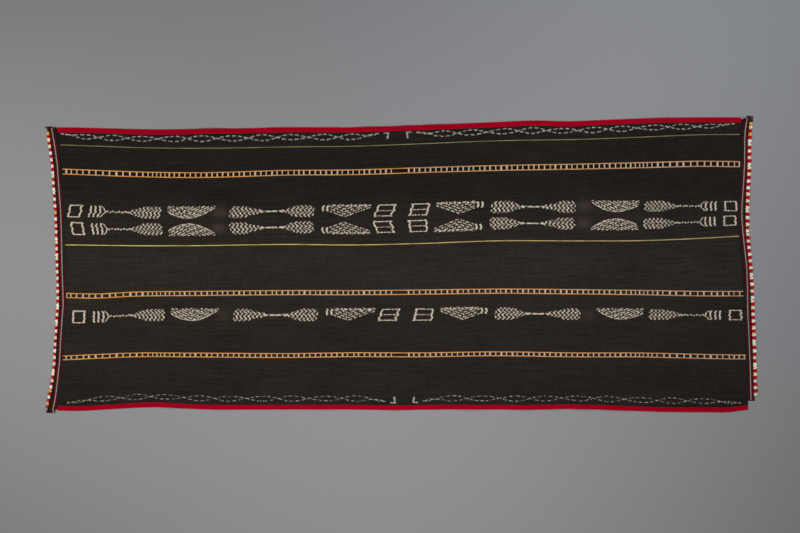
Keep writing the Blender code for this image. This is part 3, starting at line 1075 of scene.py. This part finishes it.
def crimson_warp_rep():
    """Crimson cotton in lengthwise cords: strong red and matt, with painted shade in the furrows."""
    material, tree = new_finish("crimson_cotton_rep", 0.78, specular=0.02)
    band = add_node(tree, "UVMap", uv_map="band")
    across = add_node(tree, "SeparateXYZ", {0: band}, output="Y")
    faded = streaks(tree, band, 90 * MM, 0.5, 3.0)
    colour = paint(tree, linear("8A0010"), (linear("BA0026"), faded))
    counted = add_node(tree, "Math", {0: across, 1: BAND_CORDS}, operation="MULTIPLY")
    phase = add_node(tree, "Math", {0: counted}, operation="FRACT")
    cord = within(tree, phase, middle=0.5, reach=0.40, softness=0.10)
    # Painted shade: the furrows between the cords take this darker red, the cords keep the band's
    # red.
    colour = paint(tree, linear("860016"), (colour, cord))
    picks = streaks(tree, band, 1.6 * MM, 1.0, 1.0)
    return cover(material, colour, picks, strength=0.5, depth=0.3 * MM)


crimson = crimson_warp_rep()
for name, side in (("north", 1), ("south", -1)):
    node = "side_band_" + name
    outer = rim_line(node, ALONG_X, side)
    inner = rim_line(node, ALONG_X, -side)
    west = max(outer[0][0], inner[0][0])
    east = min(outer[0][-1], inner[0][-1])
    steps = np.linspace(0.0, 1.0, STEPS_PER_CORD * BAND_CORDS + 1)[:, None]
    x = np.repeat(np.linspace(west, east, BAND_COLUMNS + 1)[None, :], len(steps), axis=0)
    inner_y = on_line(inner, x) - side * BAND_OVERLAP
    y = inner_y * (1 - steps) + on_line(outer, x) * steps
    ribs = CORD_RELIEF * np.abs(np.sin(math.pi * BAND_CORDS * steps))
    z = heights_over(node, x, y) + ribs - EDGE_DROOP * steps ** DROOP_POWER
    if side < 0:
        x, y, z, steps = x[::-1], y[::-1], z[::-1], steps[::-1]
    piece = add_grid("red_band_" + name, x, y, z)
    store_uv(piece, "band", x, np.repeat(steps, x.shape[1], axis=1))
    thicken(piece, BAND_THICKNESS)
    bpy.ops.object.shade_smooth_by_angle(angle=BAND_SMOOTH_ANGLE)
    piece.data.materials.append(crimson)
    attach(piece, BODY)
    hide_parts(node)
    print(f"{piece.name}: {east - west:.3f} m long, {len(piece.data.polygons)} faces")

# %% [markdown]
# ## Ends of the blanket
# Each end is closed with rows of weft twining over the cut warps: two dark red rows with a white
# cord between them, and a row of black and dark green outside. In twining, two yarns turn about
# each other round every group of warps, so a row looks like a two-ply rope lying on the cloth.
# Neighbouring rows are turned opposite ways. First come the lines that all of it is placed from:
# the feet of the loops, and the white cord inside them.

# %% Lines along the ends
End = namedtuple("End", "side outwards loops loop_reach insets cord")
# How far the white cord lies inside the loops' feet: (y, distance) in millimetres.
WEST_CORD = (
    (-465, 10.8), (-426, 13.9), (-120, 14.2), (-42, 12.9), (34, 12.9), (111, 13.8), (380, 13.3),
    (431, 11.3),
)
EAST_CORD = (
    (-420, 10.3), (-196, 11.8), (-158, 12.8), (-81, 10.3), (-4, 8.9), (73, 10.1), (111, 10.7),
    (150, 13.2), (188, 13.0), (265, 10.9), (380, 10.7), (431, 12.6), (470, 10.4),
)
ENDS = (
    End("west", outwards=-1, loops=84, loop_reach=9.0, insets=(6.0, 4.0), cord=WEST_CORD),
    End("east", outwards=1, loops=82, loop_reach=12.8, insets=(3.0, 7.0), cord=EAST_CORD),
)
SLOPE_STEP = 12
RUN_ON = 0.06
LOOPS_OUT = {"west": ((-465, 7.0), (-440, 6.0), (-400, 2.0), (-370, 0.0)), "east": ((0, 0.0),)}


def root_line(end):
    """The line where the loops stand, along y, carried straight on past the last loops."""
    y, x = rim_line("loop_edging_" + end.side, ALONG_Y, -end.outwards)
    south = x[0] - RUN_ON * (x[SLOPE_STEP] - x[0]) / (y[SLOPE_STEP] - y[0])
    north = x[-1] + RUN_ON * (x[-1] - x[-1 - SLOPE_STEP]) / (y[-1] - y[-1 - SLOPE_STEP])
    return np.array([y[0] - RUN_ON, *y, y[-1] + RUN_ON]), np.array([south, *x, north])


ROOTS = {end.side: root_line(end) for end in ENDS}


def x_beside_cord(end, y, out):
    """Where a line lies that runs out metres outside the middle of an end's white cord."""
    places, inside = zip(*end.cord)
    cord_inside = np.interp(y / MM, places, inside) * MM
    return on_line(ROOTS[end.side], y) - end.outwards * (cord_inside - out)


def loop_line(end, y):
    """Where the loops' feet stand: on the root line, and a little outside it at one corner."""
    places, outside = zip(*LOOPS_OUT[end.side])
    return on_line(ROOTS[end.side], y) + end.outwards * np.interp(y / MM, places, outside) * MM


def end_limits(end):
    """The lowest and highest y of an end band."""
    low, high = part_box("end_band_" + end.side)
    return low.y, high.y


for end in ENDS:
    low, high = end_limits(end)
    print(f"{end.side} end: {end.loops} loops over {high - low:.3f} m")

# %% [markdown]
# ## Ground under the rows
# A thin dark ground shows between the twined yarns: it is their own cotton, packed tight, and its
# near-black tone is partly painted shade between the rows. It is a flat grid from the cloth and the
# red bands out to the feet of the loops, and the rows lie on it.

# %% Ground of the end rows
GROUND_TOP = 1.6 * MM
GROUND_THICKNESS = 1.3 * MM
GROUND_ROWS = 6
GROUND_STEP = 6 * MM
GROUND_GAP = 0.4 * MM
FEET_COVERED = 0.6 * MM


def spun_cotton(name, roughness, tones, patch, fibre, depth):
    """Matt cotton, with a tone that changes over a patch and a relief as fine as a fibre."""
    material, tree = new_finish(name, roughness)
    place = add_node(tree, "TexCoord", output="Object")
    tone, fluff = (
        add_node(tree, "TexNoise", {0: place, "Scale": 1 / size, "Detail": 2.0})
        for size in (patch, fibre)
    )
    colour = paint(tree, linear(tones[0]), (linear(tones[1]), tone))
    return cover(material, colour, fluff, strength=0.5, depth=depth)


# Dark red cotton packed tight by the twining, and without gloss; its near-black tone is partly
# painted shade between the rows.
ground_cotton_and_shade = spun_cotton(
    "packed_dark_red_cotton_and_shade", 0.9, ("170F11", "2C1418"), patch=4 * MM, fibre=4 * MM, depth=0.4 * MM
)
for end in ENDS:
    node = "end_band_" + end.side
    inner = rim_line(node, ALONG_Y, -end.outwards)
    low, high = inner[0][0], inner[0][-1]
    y_line = np.append(np.arange(low, high, GROUND_STEP), high)
    across = np.linspace(0.0, 1.0, GROUND_ROWS + 1)[:, None]
    y = np.repeat(y_line[None, :], GROUND_ROWS + 1, axis=0)
    inside = on_line(inner, y)
    for neighbour in ("side_band_north", "side_band_south", "field_cloth"):
        beside = rim_line(neighbour, ALONG_Y, end.outwards)
        level = (y > beside[0][0]) & (y < beside[0][-1])
        closed = on_line(beside, y) + end.outwards * GROUND_GAP
        inside = np.where(level, closed, inside)
    outside = loop_line(end, y) + end.outwards * FEET_COVERED
    x = inside * (1 - across) + outside * across
    z = np.full_like(x, GROUND_TOP)
    if end.outwards > 0:
        x, y = x[::-1], y[::-1]
    piece = add_grid("end_ground_" + end.side, x, y, z)
    thicken(piece, GROUND_THICKNESS)
    piece.data.materials.append(ground_cotton_and_shade)
    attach(piece, BODY)
    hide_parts(node)
    print(f"end_ground_{end.side}: {high - low:.3f} m of warps closed")

# %% [markdown]
# ## Yarns of the rows
# Each row is twined with its own pair of plied cotton yarns. They are as matt as the ground, with
# finer fibres, and their tone changes slowly along the yarn, as dyeing by hand leaves it.

# %% Yarns of the rows
YARN_COLOURS = {
    "dark_red": ("4E121C", "721C2C"), "crimson": ("8E1026", "A01C34"),
    "undyed": ("8C8F7E", "BDBBA7"), "black": ("12100F", "1E1B19"),
    "dark_green": ("16241C", "27382C"),
}
# Plied cotton yarn: matt, with fine fibres and a tone that changes slowly along it.
yarns = {
    name: spun_cotton(name + "_cotton_yarn", 0.82, tones, 11 * MM, fibre=0.7 * MM, depth=0.2 * MM)
    for name, tones in YARN_COLOURS.items()
}
print("yarns:", ", ".join(yarns))

# %% [markdown]
# ## A strand of yarn
# A strand is a curve through a line of points, given a round bevel and then made a mesh. A curve's
# mesh comes with doubles at its caps, so they are merged and the faces are turned outwards.

# %% A strand of yarn
YARN_SMOOTH_ANGLE = math.radians(60.0)


def close_and_turn_outwards():
    """Merges the doubles of the mesh in edit mode, and turns its faces outwards."""
    bpy.ops.mesh.select_all(action="SELECT")
    bpy.ops.mesh.remove_doubles(threshold=MERGE)
    bpy.ops.mesh.normals_make_consistent(inside=False)
    bpy.ops.object.mode_set(mode="OBJECT")


def make_strand(name, points, radius, material):
    """A yarn through the points: a curve with a round bevel, made a mesh."""
    deselect_all()
    line = bpy.data.curves.new(name, "CURVE")
    line.dimensions = "3D"
    line.bevel_depth = radius
    line.bevel_resolution = 1
    line.use_fill_caps = True
    spline = line.splines.new("POLY")
    spline.points.add(len(points) - 1)
    spline.points.foreach_set("co", np.column_stack((points, np.ones(len(points)))).ravel())
    strand = bpy.data.objects.new(name, line)
    bpy.context.scene.collection.objects.link(strand)
    pick(strand)
    bpy.ops.object.convert(target="MESH")
    strand = bpy.context.object
    bpy.ops.object.mode_set(mode="EDIT")
    close_and_turn_outwards()
    strand.data.materials.clear()
    strand.data.materials.append(material)
    return strand


def join(pieces, name):
    """Joins pieces into the first one."""
    deselect_all()
    for piece in pieces:
        piece.select_set(True)
    bpy.context.view_layer.objects.active = pieces[0]
    bpy.ops.object.join()
    joined = bpy.context.object
    joined.name = name
    joined.data.name = name
    bpy.ops.object.shade_smooth_by_angle(angle=YARN_SMOOTH_ANGLE)
    return joined


print(f"edges under {math.degrees(YARN_SMOOTH_ANGLE):.0f} degrees are shaded smooth")

# %% [markdown]
# ## Twined rows and the white cord
# One row is two strands that wind round each other like the plies of a rope, so each of them
# circles the row's line. The same function makes each row with its own width, twist direction and
# pair of yarn colours.

# %% Twined rows
# Lengths in millimetres: the row's place outside the cord, its width, its height and one turn.
TwinedRow = namedtuple("TwinedRow", "name out_from_cord width height turn hand colours")
TWINED_ROWS = (
    TwinedRow("inner_row", -6.2, 4.4, 2.6, 9.5, 1, ("dark_red", "dark_red")),
    TwinedRow("white_cord", 0.0, 3.5, 3.3, 8.0, -1, ("undyed", "undyed")),
    TwinedRow("middle_row", 4.7, 4.4, 3.1, 9.0, 1, ("dark_red", "crimson")),
    TwinedRow("outer_row", 9.3, 5.0, 3.4, 10.5, -1, ("black", "dark_green")),
)
POINTS_PER_TURN = 9
ROUTE_POINTS = 160
ROW_SEAT = 0.5 * MM
STRAND_FULLNESS = 1.08


def twine(name, route, row):
    """Two yarns winding round a route, flattened a little as they are on the cloth."""
    steps = np.diff(route, axis=0, prepend=route[:1])
    travelled = np.cumsum(np.linalg.norm(steps, axis=1))
    count = int(travelled[-1] / (row.turn * MM) * POINTS_PER_TURN)
    places = np.linspace(0.0, travelled[-1], count)
    middle = np.column_stack([np.interp(places, travelled, route[:, axis]) for axis in range(3)])
    heading = np.gradient(middle, axis=0)
    sideways = np.column_stack((-heading[:, 1], heading[:, 0], np.zeros(count)))
    sideways /= np.linalg.norm(sideways, axis=1)[:, None]
    radius = row.height * MM / 4
    strands = []
    for ply, colour in enumerate(row.colours):
        angle = row.hand * 2 * math.pi * places / (row.turn * MM) + ply * math.pi
        swing = (row.width * MM / 2 - radius) * np.cos(angle)
        points = middle + sideways * swing[:, None]
        points[:, 2] += radius * np.sin(angle)
        fullness = radius * STRAND_FULLNESS
        strands.append(make_strand(f"{name}_ply_{ply}", points, fullness, yarns[colour]))
    return join(strands, name)


for end in ENDS:
    low, high = end_limits(end)
    y_line = np.linspace(low + end.insets[0] * MM, high - end.insets[1] * MM, ROUTE_POINTS)
    for row in TWINED_ROWS:
        x_line = x_beside_cord(end, y_line, row.out_from_cord * MM)
        centre_height = ROW_SEAT + row.height * MM / 2
        route = np.column_stack((x_line, y_line, np.full_like(y_line, centre_height)))
        piece = twine(f"{row.name}_{end.side}", route, row)
        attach(piece, BODY)
        print(f"{piece.name}: {len(piece.data.polygons)} faces")

# %% [markdown]
# ## Loops of wound yarn
# Outside the last row stand small loops, each a bundle of yarn bent into an arch and wound close
# with red, cream, white or now and then yellow. One arch is modelled with a spin of a ring of
# points, and copied down the edge with its own size, turn and colour.

# %% One loop
LOOP_REACH = 10.4 * MM
LOOP_HALF_WIDTH = 3.0 * MM
LOOP_YARN_RADIUS = 2.5 * MM
LOOP_FLATTENED = 0.92
LOOP_SIDES = 8
LOOP_STEPS = 7
WINDINGS = 13
# Painted shade between the windings: the yarn's colour is multiplied by this.
PAINTED_FURROW_SHADE = (0.93, 0.91, 0.89, 1.0)
LOOP_COLOURS = {
    "red": ("B80016", "DC0424"), "cream": ("FFE6B4", "FFF0D0"),
    "white": ("FFF6E2", "FFFFF2"), "yellow": ("EFB024", "F6C644"),
}


def wound_yarn(name, tones):
    """Soft yarn wound round a bundle: a matt coil with a painted shadow between the windings."""
    material, tree = new_finish(name + "_wound_yarn", 0.8, specular=0.03)
    turns = add_node(tree, "UVMap", uv_map="turns")
    around = add_node(tree, "SeparateXYZ", {0: turns}, output="X")
    counted = add_node(tree, "Math", {0: around, 1: WINDINGS}, operation="MULTIPLY")
    phase = add_node(tree, "Math", {0: counted}, operation="FRACT")
    coil = within(tree, phase, middle=0.5, reach=0.36, softness=0.14)
    place = add_node(tree, "TexCoord", output="Object")
    slow = add_node(tree, "TexNoise", {0: place, "Scale": 1 / (9 * MM), "Detail": 2.0})
    colour = paint(tree, linear(tones[0]), (linear(tones[1]), slow))
    # The furrows between the windings get painted shade, the crests of the coil keep the yarn's
    # colour.
    product = {0: 1.0, 6: colour, 7: PAINTED_FURROW_SHADE}
    shaded = add_node(tree, "Mix", product, MIXED, data_type="RGBA", blend_type="MULTIPLY")
    return cover(material, paint(tree, shaded, (colour, coil)), coil, strength=0.3, depth=0.3 * MM)


loop_yarns = {name: wound_yarn(name, tones) for name, tones in LOOP_COLOURS.items()}


def model_loop():
    """An arch in the XY plane: its feet on the Y axis, its top towards +X."""
    deselect_all()
    bpy.ops.mesh.primitive_circle_add(
        vertices=LOOP_SIDES, radius=LOOP_YARN_RADIUS, fill_type="NGON",
        location=(0.0, LOOP_HALF_WIDTH, 0.0), rotation=(0.0, math.pi / 2, 0.0),
    )
    arch = bpy.context.object
    bpy.ops.object.transform_apply(location=True, rotation=True, scale=True)
    bpy.ops.object.mode_set(mode="EDIT")
    bpy.ops.mesh.select_all(action="SELECT")
    bpy.ops.mesh.spin(steps=LOOP_STEPS, angle=math.pi, center=(0.0, 0.0, 0.0), axis=(0.0, 0.0, 1.0))
    close_and_turn_outwards()
    places = np.array([vertex.co for vertex in arch.data.vertices])
    angles = np.arctan2(places[:, 0], places[:, 1])
    stretch = (LOOP_REACH - LOOP_YARN_RADIUS) / LOOP_HALF_WIDTH
    radial = np.hypot(places[:, 0], places[:, 1])
    middle = LOOP_HALF_WIDTH * stretch * np.sin(angles)
    places[:, 0] = middle + (radial - LOOP_HALF_WIDTH) * np.sin(angles)
    places[:, 2] *= LOOP_FLATTENED
    arch.data.vertices.foreach_set("co", places.ravel())
    store_uv(arch, "turns", angles / math.pi, places[:, 2])
    arch.name = "loop_model"
    return arch


arch = model_loop()
longest = max(vertex.co.x for vertex in arch.data.vertices)
print(f"one loop: {len(arch.data.polygons)} faces, {longest / MM:.1f} mm long")

# %% [markdown]
# ## Rows of loops
# The colours mostly alternate, red and then a pale one. A short list names the few places where
# yellow was used. Sizes and turns are drawn from a seeded dice, so the edge is as uneven as
# handwork and still comes out the same each time.

# %% Copy the loops down both ends
COLOUR_REPEATS = {"west": "rcrwrcwrcrcwrcrcrwrc", "east": "crwrwrcrcwrcrwrcwrcr"}
COLOUR_NAMES = {"r": "red", "c": "cream", "w": "white"}
YELLOW_LOOPS = {"west": (1, 5, 59, 83), "east": (78, 81)}
LOOP_HEIGHT = 2.3 * MM
LOOP_ROOT = 0.8 * MM
LOOP_SEED = 23
# The most that a loop is shifted, in millimetres, and turned, in radians; then what its width and
# its length are multiplied by.
LOOP_SHIFT = 0.4
LOOP_TURN = 0.14
LOOP_SIZES = (0.90, 1.08)
LOOP_REACHES = (0.94, 1.06)


def copy_to(model, place, turn, scale, material):
    """A copy of a model with its own mesh, moved, turned and scaled in its mesh."""
    mesh = model.data.copy()
    mesh.transform(Matrix.LocRotScale(place, Euler((0.0, 0.0, turn)), scale))
    mesh.materials.clear()
    mesh.materials.append(material)
    made = bpy.data.objects.new(model.name, mesh)
    bpy.context.scene.collection.objects.link(made)
    return made


dice = np.random.default_rng(LOOP_SEED)
for end in ENDS:
    node = "loop_edging_" + end.side
    low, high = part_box(node)
    pitch = (high.y - low.y) / end.loops
    loops = []
    for number in range(end.loops):
        y = low.y + (number + 0.5) * pitch + dice.uniform(-LOOP_SHIFT, LOOP_SHIFT) * MM
        x = loop_line(end, y) - end.outwards * LOOP_ROOT
        repeat = COLOUR_REPEATS[end.side]
        colour = COLOUR_NAMES[repeat[number % len(repeat)]]
        if number in YELLOW_LOOPS[end.side]:
            colour = "yellow"
        facing = (0.0 if end.outwards > 0 else math.pi) + dice.uniform(-LOOP_TURN, LOOP_TURN)
        size = dice.uniform(*LOOP_SIZES)
        reach = size * dice.uniform(*LOOP_REACHES) * end.loop_reach * MM / LOOP_REACH
        place = (float(x), y, LOOP_HEIGHT)
        loops.append(copy_to(arch, place, facing, (reach, size, 1.0), loop_yarns[colour]))
    piece = join(loops, "loops_" + end.side)
    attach(piece, BODY)
    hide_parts(node)
    print(f"{piece.name}: {end.loops} loops, one every {pitch / MM:.1f} mm")
bpy.data.objects.remove(arch)

# %% [markdown]
# ## Yarn ends at the corners
# At the corners the twining yarns were knotted and cut, which leaves short frayed ends. Each is a
# made as one thin yarn that bends a little and sinks towards the surface.

# %% Yarn ends at the corners
# The ends at each corner: how far outside the cord and beyond the band's end, in millimetres, how
# much they lean, and their colour.
TAILS = {
    "west": {
        "north": (
            (13.5, -1.0, -0.60, "black"), (10.5, 1.0, -0.50, "dark_green"),
            (7.0, 0.0, 0.10, "dark_green"), (3.0, 0.5, -0.40, "dark_red"),
            (-3.0, 1.5, -0.30, "black"), (-7.5, 0.5, 0.20, "dark_green"),
        ),
        "south": (
            (15.0, -2.0, -0.60, "black"), (9.0, -1.0, -0.25, "dark_green"),
            (4.0, 1.5, 0.10, "dark_red"), (-1.0, -2.0, 0.30, "black"), (-6.0, 0.5, -0.15, "black"),
        ),
    },
    "east": {
        "north": (
            (-5.0, -3.0, -0.30, "black"), (-1.0, 1.0, 0.15, "dark_green"),
            (3.5, -1.0, 0.20, "dark_red"), (9.0, 0.0, 0.10, "black"),
            (12.0, 1.5, -0.15, "dark_red"), (14.5, 0.5, 0.05, "black"),
            (17.0, 0.0, 0.10, "dark_red"), (19.5, -2.5, 0.15, "dark_red"),
        ),
        "south": ((8.5, 1.0, 0.20, "dark_green"), (3.5, 0.0, -0.20, "dark_red")),
    },
}
TAIL_RADIUS = 1.1 * MM
TAIL_POINTS = 7
TAIL_START = 12 * MM
TAIL_HEIGHT = 2.4 * MM
TAIL_SINKS = 0.9 * MM


def make_tail(end, corner, out, beyond, lean, colour):
    """A yarn end from the rows at a corner outwards, bending a little as it lies."""
    low, high = end_limits(end)
    direction, inset, corner_y = (
        (1, end.insets[1], high) if corner == "north" else (-1, end.insets[0], low)
    )
    start_y = corner_y - direction * (inset * MM + TAIL_START)
    start_x = float(x_beside_cord(end, start_y, out * MM))
    share = np.linspace(0.0, 1.0, TAIL_POINTS)
    reach = TAIL_START + (inset + beyond) * MM
    points = np.column_stack((
        start_x + lean * reach * share ** 2,
        start_y + direction * reach * share,
        TAIL_HEIGHT - TAIL_SINKS * share,
    ))
    return make_strand("tail", points, TAIL_RADIUS, yarns[colour])


for end in ENDS:
    corners = TAILS[end.side].items()
    tails = [make_tail(end, corner, *tail) for corner, rows in corners for tail in rows]
    piece = join(tails, "yarn_ends_" + end.side)
    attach(piece, BODY)
    print(f"{piece.name}: {len(piece.data.polygons)} faces")

# %% [markdown]
# ## Done
# The last line leaves nothing selected.

# %% Finish
import json

deselect_all()
